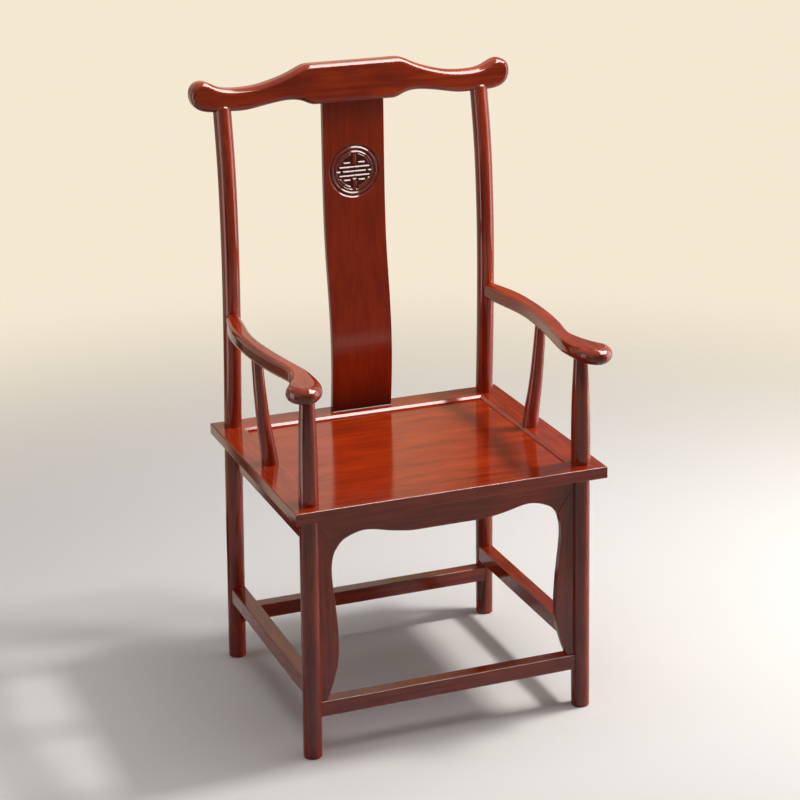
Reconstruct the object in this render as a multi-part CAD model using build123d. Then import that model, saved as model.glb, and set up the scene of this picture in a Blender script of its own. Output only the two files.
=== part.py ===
"""Official hat chair with a yoke crest rail, curved splat and open arms.

Units are millimetres. +Z is up and the sitter faces -Y. Left and right are as
seen from the front, so that +X is the right-hand side.
Every piece is first drawn about the centre of the seat. On export all pieces
move by PLAN_SHIFT, so that the origin is the bottom centre of the whole chair.
Each joint is cut in both pieces: a tenon, tongue or round neck fills its hole.
"""

import os

from build123d import *

# ---- seat frame ----------------------------------------------------------
SEAT_WIDTH = 590.0
SEAT_DEPTH = 498.0
SEAT_TOP = 480.0
RAIL_THICKNESS = 22.0
RAIL_WIDTH = 56.0
RAIL_ARRIS = 1.8
INNER_BEVEL_WIDTH = 5.0
INNER_BEVEL_DROP = 4.0
PANEL_DROP = 6.0
PANEL_THICKNESS = 12.0
PANEL_GAP = 0.5
TONGUE_THICKNESS = 6.0
GROOVE_DEPTH = 10.0
GROOVE_RISE = 2.0
TONGUE_REACH = 8.0
CORNER_TENON_THICKNESS = 8.0
CORNER_TENON_WIDTH = 14.0
CORNER_TENON_INSET = 10.0
CORNER_TENON_WALL = 4.0
BATTEN_X = 85.0
BATTEN_WIDTH = 30.0
BATTEN_DEPTH = 16.0
BATTEN_DOVETAIL = 4.0
BATTEN_TAIL_INSET = 4.0
BATTEN_TAIL_FLARE = 2.0
BATTEN_NOTCH = 12.0
BATTEN_NOTCH_RISE = 4.0

# ---- legs and posts ------------------------------------------------------
LEG_X = 259.0
FRONT_LEG_Y = -212.0
REAR_LEG_Y = 220.0
LEG_RADIUS = 17.0
NECK_RADIUS = 16.0
FOOT_CHAMFER = 3.0
SPLAY_X = 5.5
SPLAY_FRONT = 8.0
SPLAY_REAR = 5.0
REAR_POST_RADIUS = 16.6
REAR_POST_TOP_X = 253.0
REAR_POST_LAP = 14.0
REAR_POST_CAP_ROUNDING = 10.0
ROUND_TENON_RADIUS = 7.0
ROUND_TENON_LENGTH = 18.0

# ---- arms and spindles ---------------------------------------------------
ARM_TOP = 706.5
ARM_THICKNESS = 29.5
ARM_ROUNDING = 8.4
ARM_TENON_WIDTH = 10.0
ARM_TENON_HEIGHT = 20.0
ARM_TENON_LENGTH = 14.0
ARM_TENON_ROOT = 12.0
SPINDLE_Y = 1.0

# ---- crest rail and splat ------------------------------------------------
CREST_FRONT = 226.0
CREST_DEPTH = 34.0
CREST_BOTTOM = 1076.0
CREST_ROUNDING = 7.0
CREST_TENON_RADIUS = 9.0
CREST_TENON_LENGTH = 24.0
CREST_TENON_ROOT = 4.0
SPLAT_WIDTH = 121.0
SPLAT_THICKNESS = 12.0
SPLAT_TONGUE_THICKNESS = 8.0
SPLAT_TONGUE_INSET = 8.0
SPLAT_TONGUE_LENGTH = 12.0

# ---- aprons and stretchers -----------------------------------------------
APRON_THICKNESS = 14.0
APRON_DEPTH = 56.0
APRON_FACE_OFFSET = 4.0
APRON_TONGUE_THICKNESS = 6.0
APRON_TONGUE_REACH = 6.0
APRON_TOP_TONGUE = 4.0
APRON_TONGUE_MARGIN = 4.0
APRON_TRIM = 10.0
APRON_END_OVERLAP = 1.0
STRETCHER_TENON_THICKNESS = 12.0
STRETCHER_TENON_MARGIN = 5.0
STRETCHER_TENON_REACH = 14.0
STRETCHER_ARRIS = 1.5
LOW_STRETCHER_TOP = 106.0
LOW_STRETCHER_HEIGHT = 29.0
LOW_STRETCHER_DEPTH = 26.0
LOW_STRETCHER_INSET = 5.0
SIDE_STRETCHER_TOP = 149.0
SIDE_STRETCHER_HEIGHT = 30.0
SIDE_STRETCHER_DEPTH = 28.0
SIDE_STRETCHER_INSET = 1.0

# ---- curves, half of a symmetric outline each ----------------------------
# Plan outline of the right-hand armrest: outer side, ball end, inner side.
ARM_OUTER = [
    (271, 200), (287, 132), (291, 60), (286, -32), (273, -111), (268, -146), (276.5, -180),
    (292.5, -212),
]
ARM_TIP = [(302, -233), (292.5, -258.5), (268.5, -269), (245, -251.5), (234.5, -210.5)]
ARM_INNER = [(241.5, -134), (253, -63), (260.5, 0), (262, 80), (254, 140), (247.5, 200)]
# Crest outline, x and z: the headrest, the low waist and the upturned end.
CREST_UPPER = [
    (86, 1151), (118, 1140), (158, 1126), (190, 1119), (225, 1117), (262, 1123), (290, 1134),
]
CREST_TIP = [(307, 1127), (312.5, 1108), (304, 1088), (285, 1079)]
CREST_LOWER = [
    (250, 1077), (215, 1076), (180, 1081), (150, 1086), (122, 1088), (100, 1084), (76, 1076),
]
# Front face of the splat, then middle line of the rear post, y and z.
SPLAT_CURVE = [
    (215, 480), (209, 540), (207, 605), (216, 705), (229, 790), (236, 880), (238, 980), (239, 1076),
]
POST_CURVE = [
    (220, 480), (214, 590), (210.5, 700), (210, 800), (214, 895), (225, 1000), (239, 1076),
]
# Arm post: height and radius.
ARM_POST_STATIONS = [(480, 17.7), (520, 17.4), (588, 16.4), (643, 14.3), (677, 12.6)]
# Spindle: height, distance of its middle from the centre plane, and radius.
SPINDLE_STATIONS = [
    (480, 257.5, 15.6), (508, 260.5, 14.5), (547, 266, 13.1), (600, 271.5, 11.8), (681, 276.8, 9.9),
]
# Front opening, x and z: cusped ear from the stretcher to the corner, then the brow.
EAR_EDGE = [
    (235, 106), (223, 138), (213, 177), (211, 220), (213, 260), (217, 300),
    (220.5, 337), (219, 372), (212, 390),
]
BROW_EDGE = [
    (212, 390), (203, 402), (188, 411), (171, 416.5), (155, 418), (118, 411), (88, 405.5), (63, 403),
]
EAR_START, EAR_END = (-0.5, 1), (-0.6, 0.8)
BROW_START, BROW_END = (-0.6, 0.8), (-1, 0)

# ---- worked out from the sizes above -------------------------------------
HALF_WIDTH = SEAT_WIDTH / 2
HALF_DEPTH = SEAT_DEPTH / 2
SEAT_BOTTOM = SEAT_TOP - RAIL_THICKNESS
OPENING_X = HALF_WIDTH - RAIL_WIDTH
OPENING_Y = HALF_DEPTH - RAIL_WIDTH
PANEL_TOP = SEAT_TOP - PANEL_DROP
PANEL_BOTTOM = PANEL_TOP - PANEL_THICKNESS
GROOVE_BOTTOM = PANEL_BOTTOM + GROOVE_RISE
ARM_BOTTOM = ARM_TOP - ARM_THICKNESS
CREST_BACK = CREST_FRONT + CREST_DEPTH
APRON_BOTTOM = SEAT_BOTTOM - APRON_DEPTH
POST_Y_AT_ARM = POST_CURVE[2][0]
ARM_TIP_Y = min(y for x, y in ARM_TIP)
PLAN_SHIFT = -(ARM_TIP_Y + CREST_BACK) / 2


def box(x0, x1, y0, y1, z0, z1):
    """A block between two opposite corners."""
    middle = ((x0 + x1) / 2, (y0 + y1) / 2, (z0 + z1) / 2)
    return Pos(*middle) * Box(abs(x1 - x0), abs(y1 - y0), abs(z1 - z0))


def cylinder(x, y, z0, z1, radius):
    """An upright round bar."""
    return Pos(x, y, (z0 + z1) / 2) * Cylinder(radius, z1 - z0)


def other_side(solid):
    """The same piece on the other side of the chair."""
    return mirror(solid, about=Plane.YZ)


def prism(points, z0, z1):
    """An upright prism over a plan outline."""
    outline = make_face(Polyline(*points, close=True))
    return extrude(Pos(0, 0, z0) * outline, amount=z1 - z0)


def leg_axis(x, y, splay_y, z):
    """Plan position of a leg's middle at a height below the seat."""
    share = (SEAT_TOP - z) / SEAT_TOP
    return x + SPLAY_X * share, y + splay_y * share


# ---- legs ----------------------------------------------------------------
def leg_below_seat(y, splay_y):
    """Round leg that leans out towards its foot."""
    foot_x, foot_y = leg_axis(LEG_X, y, splay_y, 0)
    top_x, top_y = leg_axis(LEG_X, y, splay_y, SEAT_BOTTOM)
    lean = Vector(top_x - foot_x, top_y - foot_y, SEAT_BOTTOM)
    leg = extrude(Pos(foot_x, foot_y, 0) * Circle(LEG_RADIUS), amount=lean.length, dir=lean.normalized())
    foot_edge = leg.faces().sort_by(Axis.Z)[0].edges()
    return chamfer(foot_edge, FOOT_CHAMFER)


def front_leg_blank():
    """Front leg, neck through the seat and the tapered post for the arm."""
    leg = leg_below_seat(FRONT_LEG_Y, -SPLAY_FRONT)
    neck = cylinder(LEG_X, FRONT_LEG_Y, SEAT_BOTTOM, SEAT_TOP, NECK_RADIUS)
    sections = []
    for z, radius in ARM_POST_STATIONS:
        x, y = leg_axis(LEG_X, FRONT_LEG_Y, -SPLAY_FRONT, z)
        sections.append(Pos(x, y, z) * Circle(radius))
    post = loft(sections)
    tenon = cylinder(x, y, ARM_BOTTOM, ARM_BOTTOM + ROUND_TENON_LENGTH, ROUND_TENON_RADIUS)
    return leg + neck + post + tenon


def rear_post_blank():
    """Rear leg that runs through the seat, bends back and ends in a domed cap at the crest."""
    leg = leg_below_seat(REAR_LEG_Y, SPLAY_REAR)
    neck = cylinder(LEG_X, REAR_LEG_Y, SEAT_BOTTOM, SEAT_TOP, NECK_RADIUS)
    points = [(post_x(z), y, z) for y, z in POST_CURVE]
    near_y, near_z = POST_CURVE[-2]
    last_y, last_z = POST_CURVE[-1]
    slope = (last_y - near_y) / (last_z - near_z)
    cap_z = CREST_BOTTOM + REAR_POST_LAP
    points.append((post_x(cap_z), last_y + slope * REAR_POST_LAP, cap_z))
    start = Plane(origin=points[0], z_dir=(0, 0, 1)) * Circle(REAR_POST_RADIUS)
    post = sweep(start, path=Spline(*points))
    cap_edge = post.edges().sort_by(Axis.Z)[-1]
    return leg + neck + fillet(cap_edge, REAR_POST_CAP_ROUNDING)


def post_x(z):
    """Distance of the rear post from the centre plane above the seat."""
    share = (z - SEAT_TOP) / (CREST_BOTTOM - SEAT_TOP)
    return LEG_X + (REAR_POST_TOP_X - LEG_X) * share


def crest_tenon():
    """Round tenon of the rear post in the crest."""
    y = POST_CURVE[-1][0]
    z0 = CREST_BOTTOM - CREST_TENON_ROOT
    return cylinder(REAR_POST_TOP_X, y, z0, CREST_BOTTOM + CREST_TENON_LENGTH, CREST_TENON_RADIUS)


# ---- seat ----------------------------------------------------------------
def rail_plan(side):
    """Plan outline of one mitred rail."""
    turns = [(-1, -1), (1, -1), (1, 1), (-1, 1)]
    outer = [(sx * HALF_WIDTH, sy * HALF_DEPTH) for sx, sy in turns]
    inner = [(sx * OPENING_X, sy * OPENING_Y) for sx, sy in turns]
    start = ["front", "right", "back", "left"].index(side)
    end = (start + 1) % 4
    return [outer[start], outer[end], inner[end], inner[start]]


def seat_ring():
    """The four rails in one, with the panel groove and the bevelled step."""
    ring = box(-HALF_WIDTH, HALF_WIDTH, -HALF_DEPTH, HALF_DEPTH, SEAT_BOTTOM, SEAT_TOP)
    ring = chamfer(ring.edges().filter_by(Axis.Z, reverse=True), RAIL_ARRIS)
    ring -= box(-OPENING_X, OPENING_X, -OPENING_Y, OPENING_Y, SEAT_BOTTOM, SEAT_TOP)
    wide_x = OPENING_X + INNER_BEVEL_WIDTH
    wide_y = OPENING_Y + INNER_BEVEL_WIDTH
    low = Pos(0, 0, SEAT_TOP - INNER_BEVEL_DROP) * Rectangle(2 * OPENING_X, 2 * OPENING_Y)
    high = Pos(0, 0, SEAT_TOP) * Rectangle(2 * wide_x, 2 * wide_y)
    ring -= loft([low, high], ruled=True)
    deep_x = OPENING_X + GROOVE_DEPTH
    deep_y = OPENING_Y + GROOVE_DEPTH
    ring -= box(-deep_x, deep_x, -deep_y, deep_y, GROOVE_BOTTOM, GROOVE_BOTTOM + TONGUE_THICKNESS)
    return ring - leg_necks()


def leg_necks():
    """The four round holes that the legs fill in the seat."""
    necks = Part()
    for x in (-LEG_X, LEG_X):
        necks += cylinder(x, FRONT_LEG_Y, SEAT_BOTTOM, SEAT_TOP, NECK_RADIUS)
        necks += cylinder(x, REAR_LEG_Y, SEAT_BOTTOM, SEAT_TOP, NECK_RADIUS)
    return necks


def corner_tenons():
    """Stub tenons of the front and back rails across the four mitres."""
    x0 = HALF_WIDTH - CORNER_TENON_WALL
    x1 = HALF_WIDTH - CORNER_TENON_INSET - CORNER_TENON_WIDTH
    y0 = HALF_DEPTH - CORNER_TENON_INSET
    y1 = y0 - CORNER_TENON_WIDTH
    z0 = SEAT_BOTTOM + (RAIL_THICKNESS - CORNER_TENON_THICKNESS) / 2
    z1 = z0 + CORNER_TENON_THICKNESS
    signs = [(sx, sy) for sx in (-1, 1) for sy in (-1, 1)]
    return [box(sx * x1, sx * x0, sy * y1, sy * y0, z0, z1) - leg_necks() for sx, sy in signs]


def seat_panel_blank():
    """Floating panel with a tongue all round."""
    x = OPENING_X - PANEL_GAP
    y = OPENING_Y - PANEL_GAP
    field = box(-x, x, -y, y, PANEL_BOTTOM, PANEL_TOP)
    reach_x = OPENING_X + TONGUE_REACH
    reach_y = OPENING_Y + TONGUE_REACH
    tongue_top = GROOVE_BOTTOM + TONGUE_THICKNESS
    tongue = box(-reach_x, reach_x, -reach_y, reach_y, GROOVE_BOTTOM, tongue_top)
    return field + tongue - leg_necks()


def batten(x):
    """Dovetailed batten under the panel, notched into both long rails."""
    half = BATTEN_WIDTH / 2
    neck = half - BATTEN_TAIL_INSET
    wide = neck + BATTEN_TAIL_FLARE
    low = PANEL_BOTTOM - BATTEN_DEPTH
    bar = box(x - half, x + half, -OPENING_Y, OPENING_Y, low, PANEL_BOTTOM)
    tail_points = [(-neck, 0), (neck, 0), (wide, BATTEN_DOVETAIL), (-wide, BATTEN_DOVETAIL)]
    tail_face = make_face(Polyline(*tail_points, close=True))
    length = 2 * (OPENING_Y - PANEL_GAP)
    tail_plane = Plane(origin=(x, length / 2, PANEL_BOTTOM), x_dir=(1, 0, 0), z_dir=(0, -1, 0))
    tail = extrude(tail_plane * tail_face, amount=length)
    reach = OPENING_Y + BATTEN_NOTCH
    notch = box(x - neck, x + neck, -reach, reach, SEAT_BOTTOM, SEAT_BOTTOM + BATTEN_NOTCH_RISE)
    return bar + notch, tail


# ---- aprons and stretchers -----------------------------------------------
def side_apron():
    """Straight board under a side rail, and its tongues."""
    x1 = LEG_X + APRON_FACE_OFFSET
    x0 = x1 - APRON_THICKNESS
    board = box(x0, x1, FRONT_LEG_Y, REAR_LEG_Y, APRON_BOTTOM, SEAT_BOTTOM)
    middle = (x0 + x1) / 2
    t0 = middle - APRON_TONGUE_THICKNESS / 2
    t1 = middle + APRON_TONGUE_THICKNESS / 2
    reach = LEG_RADIUS - APRON_TONGUE_REACH
    low = APRON_BOTTOM + APRON_TONGUE_MARGIN
    ends = box(t0, t1, FRONT_LEG_Y + reach, REAR_LEG_Y - reach, low, SEAT_BOTTOM)
    clear = 2 * LEG_RADIUS
    high = SEAT_BOTTOM + APRON_TOP_TONGUE
    top = box(t0, t1, FRONT_LEG_Y + clear, REAR_LEG_Y - clear, SEAT_BOTTOM, high)
    return board, ends, top


def back_apron():
    """Straight board under the back rail, and its tongues."""
    y1 = REAR_LEG_Y + APRON_FACE_OFFSET
    y0 = y1 - APRON_THICKNESS
    board = box(-LEG_X, LEG_X, y0, y1, APRON_BOTTOM, SEAT_BOTTOM)
    middle = (y0 + y1) / 2
    t0 = middle - APRON_TONGUE_THICKNESS / 2
    t1 = middle + APRON_TONGUE_THICKNESS / 2
    reach = LEG_X - LEG_RADIUS + APRON_TONGUE_REACH
    ends = box(-reach, reach, t0, t1, APRON_BOTTOM + APRON_TONGUE_MARGIN, SEAT_BOTTOM)
    clear = LEG_X - 2 * LEG_RADIUS
    top = box(-clear, clear, t0, t1, SEAT_BOTTOM, SEAT_BOTTOM + APRON_TOP_TONGUE)
    return board, ends, top


def front_apron_plane():
    """Leaning plane of the front apron's face, in line with the front legs."""
    lean = SPLAY_FRONT / SEAT_TOP
    face_y = FRONT_LEG_Y - APRON_FACE_OFFSET - SPLAY_FRONT * RAIL_THICKNESS / SEAT_TOP
    return Plane(origin=(0, face_y, SEAT_BOTTOM), x_dir=(1, 0, 0), z_dir=(0, -1, -lean))


def front_sheet(face, thickness, setback):
    """A leaning board, or the tongue inside it, from an outline in x and z."""
    plane = front_apron_plane().offset(-setback - thickness)
    local = Pos(0, -SEAT_BOTTOM) * face
    return extrude(plane * local, amount=thickness)


def top_apron_face(half):
    """Outline of the top board: mitred ends, an ogee lower edge and some waste at the top."""
    x0, z0 = BROW_EDGE[0]
    x1, z1 = BROW_EDGE[-1]
    high = SEAT_BOTTOM + APRON_TRIM
    right = Spline(*BROW_EDGE, tangents=(BROW_START, BROW_END))
    left = mirror(right, about=Plane.YZ)
    edges = [
        Line((-half, high), (half, high)),
        Line((half, high), (half, SEAT_BOTTOM)),
        Line((half, SEAT_BOTTOM), (x0, z0)),
        right,
        Line((x1, z1), (-x1, z1)),
        left,
        Line((-x0, z0), (-half, SEAT_BOTTOM)),
        Line((-half, SEAT_BOTTOM), (-half, high)),
    ]
    return make_face(edges)


def ear_face(half):
    """Outline of an ear: mitred top, straight outer and cusped inner edge."""
    x0, z0 = EAR_EDGE[-1]
    x1, z1 = EAR_EDGE[0]
    edges = [
        Line((x0, z0), (half, SEAT_BOTTOM)),
        Line((half, SEAT_BOTTOM), (half, z1)),
        Line((half, z1), (x1, z1)),
        Spline(*EAR_EDGE, tangents=(EAR_START, EAR_END)),
    ]
    return make_face(edges)


def stretcher(along_x, middle_a, middle_b, across, top, height, depth):
    """A rectangular rail between two leg centres, and its stub tenons."""
    low = top - height
    half = depth / 2
    thin = STRETCHER_TENON_THICKNESS / 2
    z0 = low + STRETCHER_TENON_MARGIN
    z1 = top - STRETCHER_TENON_MARGIN
    inner_a = middle_a + LEG_RADIUS - STRETCHER_TENON_REACH
    inner_b = middle_b - LEG_RADIUS + STRETCHER_TENON_REACH
    if along_x:
        bar = box(middle_a, middle_b, across - half, across + half, low, top)
        tenon = box(inner_a, inner_b, across - thin, across + thin, z0, z1)
        axis = Axis.X
    else:
        bar = box(across - half, across + half, middle_a, middle_b, low, top)
        tenon = box(across - thin, across + thin, inner_a, inner_b, z0, z1)
        axis = Axis.Y
    bar = chamfer(bar.edges().filter_by(axis), STRETCHER_ARRIS)
    return bar, tenon


def low_stretcher(y, splay_y):
    """Front or back stretcher."""
    top = LOW_STRETCHER_TOP
    leg_x, leg_y = leg_axis(LEG_X, y, splay_y, top - LOW_STRETCHER_HEIGHT / 2)
    inward = -1 if y > 0 else 1
    across = leg_y + inward * LOW_STRETCHER_INSET
    return stretcher(True, -leg_x, leg_x, across, top, LOW_STRETCHER_HEIGHT, LOW_STRETCHER_DEPTH)


def side_stretcher():
    """Right-hand side stretcher."""
    top = SIDE_STRETCHER_TOP
    middle = top - SIDE_STRETCHER_HEIGHT / 2
    leg_x, front_y = leg_axis(LEG_X, FRONT_LEG_Y, -SPLAY_FRONT, middle)
    leg_x, rear_y = leg_axis(LEG_X, REAR_LEG_Y, SPLAY_REAR, middle)
    across = leg_x - SIDE_STRETCHER_INSET
    return stretcher(False, front_y, rear_y, across, top, SIDE_STRETCHER_HEIGHT, SIDE_STRETCHER_DEPTH)


# ---- arms, spindles, crest and splat -------------------------------------
def arm_blank():
    """Armrest sawn from one board, rounded along its two long edges."""
    outline = Spline(*ARM_OUTER, *ARM_TIP, *ARM_INNER)
    back = Line(ARM_INNER[-1], ARM_OUTER[0])
    arm = extrude(Pos(0, 0, ARM_BOTTOM) * make_face([outline, back]), amount=ARM_THICKNESS)
    long_edges = arm.edges().filter_by(lambda e: e.length > SEAT_DEPTH)
    return fillet(long_edges, ARM_ROUNDING)


def arm_tenon():
    """Flat tenon of the armrest in the rear post."""
    x = (ARM_OUTER[0][0] + ARM_INNER[-1][0]) / 2
    z = (ARM_TOP + ARM_BOTTOM) / 2
    shoulder = POST_Y_AT_ARM - REAR_POST_RADIUS
    half = ARM_TENON_WIDTH / 2
    rise = ARM_TENON_HEIGHT / 2
    y0 = shoulder - ARM_TENON_ROOT
    return box(x - half, x + half, y0, shoulder + ARM_TENON_LENGTH, z - rise, z + rise)


def spindle_blank():
    """Turned spindle that bows outward and thins towards the arm."""
    sections = [Pos(x, SPINDLE_Y, z) * Circle(radius) for z, x, radius in SPINDLE_STATIONS]
    low_x = SPINDLE_STATIONS[0][1]
    high_x = SPINDLE_STATIONS[-1][1]
    foot = cylinder(low_x, SPINDLE_Y, SEAT_TOP - RAIL_THICKNESS / 2, SEAT_TOP, ROUND_TENON_RADIUS)
    head = cylinder(high_x, SPINDLE_Y, ARM_BOTTOM, ARM_BOTTOM + ROUND_TENON_LENGTH, ROUND_TENON_RADIUS)
    return loft(sections) + foot + head


def crest_blank():
    """Yoke crest: raised headrest, low waists and blunt upturned ends."""
    top_x, top_z = CREST_UPPER[0]
    low_x, low_z = CREST_LOWER[-1]
    right = Spline(*CREST_UPPER, *CREST_TIP, *CREST_LOWER, tangents=((1, 0), (-1, 0)))
    left = mirror(right, about=Plane.YZ)
    headrest = Line((-top_x, top_z), (top_x, top_z))
    underside = Line((-low_x, low_z), (low_x, low_z))
    plane = Plane(origin=(0, CREST_BACK, 0), x_dir=(1, 0, 0), z_dir=(0, -1, 0))
    crest = extrude(plane * make_face([right, left, headrest, underside]), amount=CREST_DEPTH)
    return fillet(crest.edges().filter_by(Axis.Y, reverse=True), CREST_ROUNDING)


def splat_blank():
    """Curved board of even thickness."""
    front = Spline(*SPLAT_CURVE)
    back_points = [(y + SPLAT_THICKNESS, z) for y, z in SPLAT_CURVE]
    back = Spline(*back_points)
    top = Line(SPLAT_CURVE[-1], back_points[-1])
    bottom = Line(back_points[0], SPLAT_CURVE[0])
    face = make_face([front, top, back, bottom])
    plane = Plane(origin=(-SPLAT_WIDTH / 2, 0, 0), x_dir=(0, 1, 0), z_dir=(1, 0, 0))
    return extrude(plane * face, amount=SPLAT_WIDTH)


def splat_tongues():
    """Tongues of the splat in the back rail and in the crest."""
    half = SPLAT_WIDTH / 2 - SPLAT_TONGUE_INSET
    thick = SPLAT_TONGUE_THICKNESS
    margin = (SPLAT_THICKNESS - thick) / 2
    y0 = SPLAT_CURVE[0][0] + margin
    y1 = SPLAT_CURVE[-1][0] + margin
    foot = box(-half, half, y0, y0 + thick, SEAT_TOP - SPLAT_TONGUE_LENGTH, SEAT_TOP)
    head = box(-half, half, y1, y1 + thick, CREST_BOTTOM, CREST_BOTTOM + SPLAT_TONGUE_LENGTH)
    return foot, head


# ---- assembly ------------------------------------------------------------
def build():
    """Cut every joint and return the pieces by name."""
    front_leg = front_leg_blank()
    rear_post = rear_post_blank()
    crest = crest_blank()
    splat = splat_blank()
    splat_foot, splat_head = splat_tongues()
    arm = arm_blank()
    spindle = spindle_blank()
    ring = seat_ring()
    pieces = {}

    # Rear posts meet the crest on a scribed shoulder with a round tenon.
    tenon = crest_tenon()
    rear_post_whole = rear_post
    rear_post = rear_post - crest + tenon
    crest = crest - tenon - other_side(tenon)
    crest = crest - splat_head
    splat = splat + splat_foot + splat_head
    pieces["crest_rail"] = crest
    pieces["back_splat"] = splat

    # Armrest: scribed to the rear post, bored for the post and the spindle.
    tenon = arm_tenon()
    arm = arm - rear_post_whole
    arm = arm + (tenon & rear_post_whole)
    rear_post = rear_post - tenon
    arm = arm - front_leg - spindle

    # Stretchers and aprons stop at the legs; their tenons fill the mortises.
    front_bar, front_tenon = low_stretcher(FRONT_LEG_Y, -SPLAY_FRONT)
    back_bar, back_tenon = low_stretcher(REAR_LEG_Y, SPLAY_REAR)
    side_bar, side_tenon = side_stretcher()
    side_board, side_ends, side_top = side_apron()
    back_board, back_ends, back_top = back_apron()
    front_pair = front_leg + other_side(front_leg)
    rear_pair = rear_post_whole + other_side(rear_post_whole)

    pieces["stretcher_front"] = front_bar - front_pair + (front_tenon & front_pair)
    pieces["stretcher_back"] = back_bar - rear_pair + (back_tenon & rear_pair)
    side_legs = front_leg + rear_post_whole
    side_bar = side_bar - side_legs + (side_tenon & side_legs)
    side_board = side_board - side_legs + side_top + (side_ends & side_legs)
    back_board = back_board - rear_pair + back_top + (back_ends & rear_pair)
    pieces["back_apron"] = back_board

    reach = LEG_X + APRON_END_OVERLAP
    tongue_reach = LEG_X - LEG_RADIUS + APRON_TONGUE_REACH
    above = box(-HALF_WIDTH, HALF_WIDTH, -HALF_DEPTH, 0, SEAT_BOTTOM, SEAT_TOP)
    setback = (APRON_THICKNESS - APRON_TONGUE_THICKNESS) / 2
    ear = front_sheet(ear_face(reach), APRON_THICKNESS, 0) - above
    ear_tongue = front_sheet(ear_face(tongue_reach), APRON_TONGUE_THICKNESS, setback) - above
    brow = front_sheet(top_apron_face(reach), APRON_THICKNESS, 0) - above
    pieces_below = front_bar + side_bar
    ear = ear - front_leg - pieces_below + ((ear_tongue & front_leg) - pieces_below)
    brow = brow - front_pair
    clear = LEG_X - 2 * LEG_RADIUS
    y0 = FRONT_LEG_Y - APRON_FACE_OFFSET + setback
    y1 = y0 + APRON_TONGUE_THICKNESS
    brow_tongue = box(-clear, clear, y0, y1, SEAT_BOTTOM, SEAT_BOTTOM + APRON_TOP_TONGUE)
    pieces["front_apron_top"] = brow + brow_tongue

    front_leg = front_leg - front_tenon - side_tenon - side_ends - ear
    rear_post = rear_post - back_tenon - side_tenon - side_ends - back_ends

    # Seat: mitred rails round a floating panel held by two battens.
    panel = seat_panel_blank()
    tops = side_top + other_side(side_top) + back_top + brow_tongue
    ring = ring - tops - spindle - other_side(spindle) - splat_foot
    for index, x in enumerate((-BATTEN_X, BATTEN_X), start=1):
        bar, tail = batten(x)
        ring = ring - bar
        panel = panel - tail
        pieces[f"seat_batten_{index}"] = bar + tail
    pieces["seat_panel"] = panel
    tenons = corner_tenons()
    sides = ("front", "right", "back", "left")
    plans = {side: prism(rail_plan(side), SEAT_BOTTOM, SEAT_TOP) for side in sides}
    for side in ("left", "right"):
        rail = ring & plans[side]
        for stub in tenons:
            rail = rail - stub
        pieces[f"seat_rail_{side}"] = rail
    for side in ("front", "back"):
        rail = ring & plans[side]
        for stub in tenons:
            if (stub.center().Y < 0) == (side == "front"):
                rail = rail + (stub & (plans["left"] + plans["right"]))
        pieces[f"seat_rail_{side}"] = rail

    sided = {
        "rear_post": rear_post,
        "front_leg": front_leg,
        "armrest": arm,
        "arm_spindle": spindle,
        "side_apron": side_board,
        "stretcher": side_bar,
        "front_apron": ear,
    }
    for name, solid in sided.items():
        pieces[f"{name}_right"] = solid
        pieces[f"{name}_left"] = other_side(solid)
    return pieces


os.makedirs("parts", exist_ok=True)
for name, solid in build().items():
    export_step(Pos(0, PLAN_SHIFT, 0) * solid, f"parts/{name}.step")
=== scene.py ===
"""Looks of an official hat chair: a yoke-back armchair in stained and lacquered elm.

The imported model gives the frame: its nodes, its body and its material slots. Each
sub-assembly below is a class that holds its sizes in millimetres, about the middle
of the seat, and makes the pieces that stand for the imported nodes. One plan shift
carries every piece from there to the frame's own origin.
"""

from __future__ import annotations

import logging
import math
from dataclasses import dataclass, field
from enum import Enum
from typing import Callable, Iterable, Optional

import bpy
import numpy as np
from mathutils import Matrix, Vector

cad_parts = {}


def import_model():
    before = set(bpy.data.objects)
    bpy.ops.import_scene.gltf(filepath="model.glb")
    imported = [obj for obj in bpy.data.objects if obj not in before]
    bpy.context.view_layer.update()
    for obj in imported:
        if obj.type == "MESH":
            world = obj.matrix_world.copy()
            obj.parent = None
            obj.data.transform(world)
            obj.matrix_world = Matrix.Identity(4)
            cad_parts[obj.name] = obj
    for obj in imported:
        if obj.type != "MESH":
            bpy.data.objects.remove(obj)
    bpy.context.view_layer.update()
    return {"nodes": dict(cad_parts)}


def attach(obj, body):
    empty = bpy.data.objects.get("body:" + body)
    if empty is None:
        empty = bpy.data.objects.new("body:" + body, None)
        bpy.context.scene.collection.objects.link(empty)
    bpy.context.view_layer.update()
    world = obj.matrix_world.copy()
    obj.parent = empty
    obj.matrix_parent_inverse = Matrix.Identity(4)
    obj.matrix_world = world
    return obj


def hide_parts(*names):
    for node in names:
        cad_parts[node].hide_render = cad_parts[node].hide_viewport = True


LOG = logging.getLogger("hat_chair")
MM = 0.001
SHARP_ANGLE = math.radians(38)
FACE_WEIGHT = 100
UP = np.array([0.0, 0.0, 1.0])
# Point attribute that says how much darker a point is drawn, from none to all: pooled stain together with
# painted shade in the carved recesses, and painted shade at the splat's foot.
STAIN_AND_SHADE = "stain_and_painted_shade"
# Numbers of the mix node's sockets: the two that it mixes, and the one that it gives.
FLOAT_A, FLOAT_B, FLOAT_MIXED = 2, 3, 0
COLOUR_A, COLOUR_B, COLOUR_MIXED = 6, 7, 2

Points = np.ndarray
Triple = tuple[float, float, float]
Outline = tuple[tuple[float, ...], ...]
Tree = bpy.types.NodeTree
Socket = bpy.types.NodeSocket
Piece = bpy.types.Object
# Turns flat points and their heights above the middle of a board into places in space.
Placing = Callable[[Points, Points], Points]


class Grain(Enum):
    """Way that the fibres of a piece run."""

    ALONG_X = "x"
    ALONG_Y = "y"
    ALONG_Z = "z"


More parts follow.
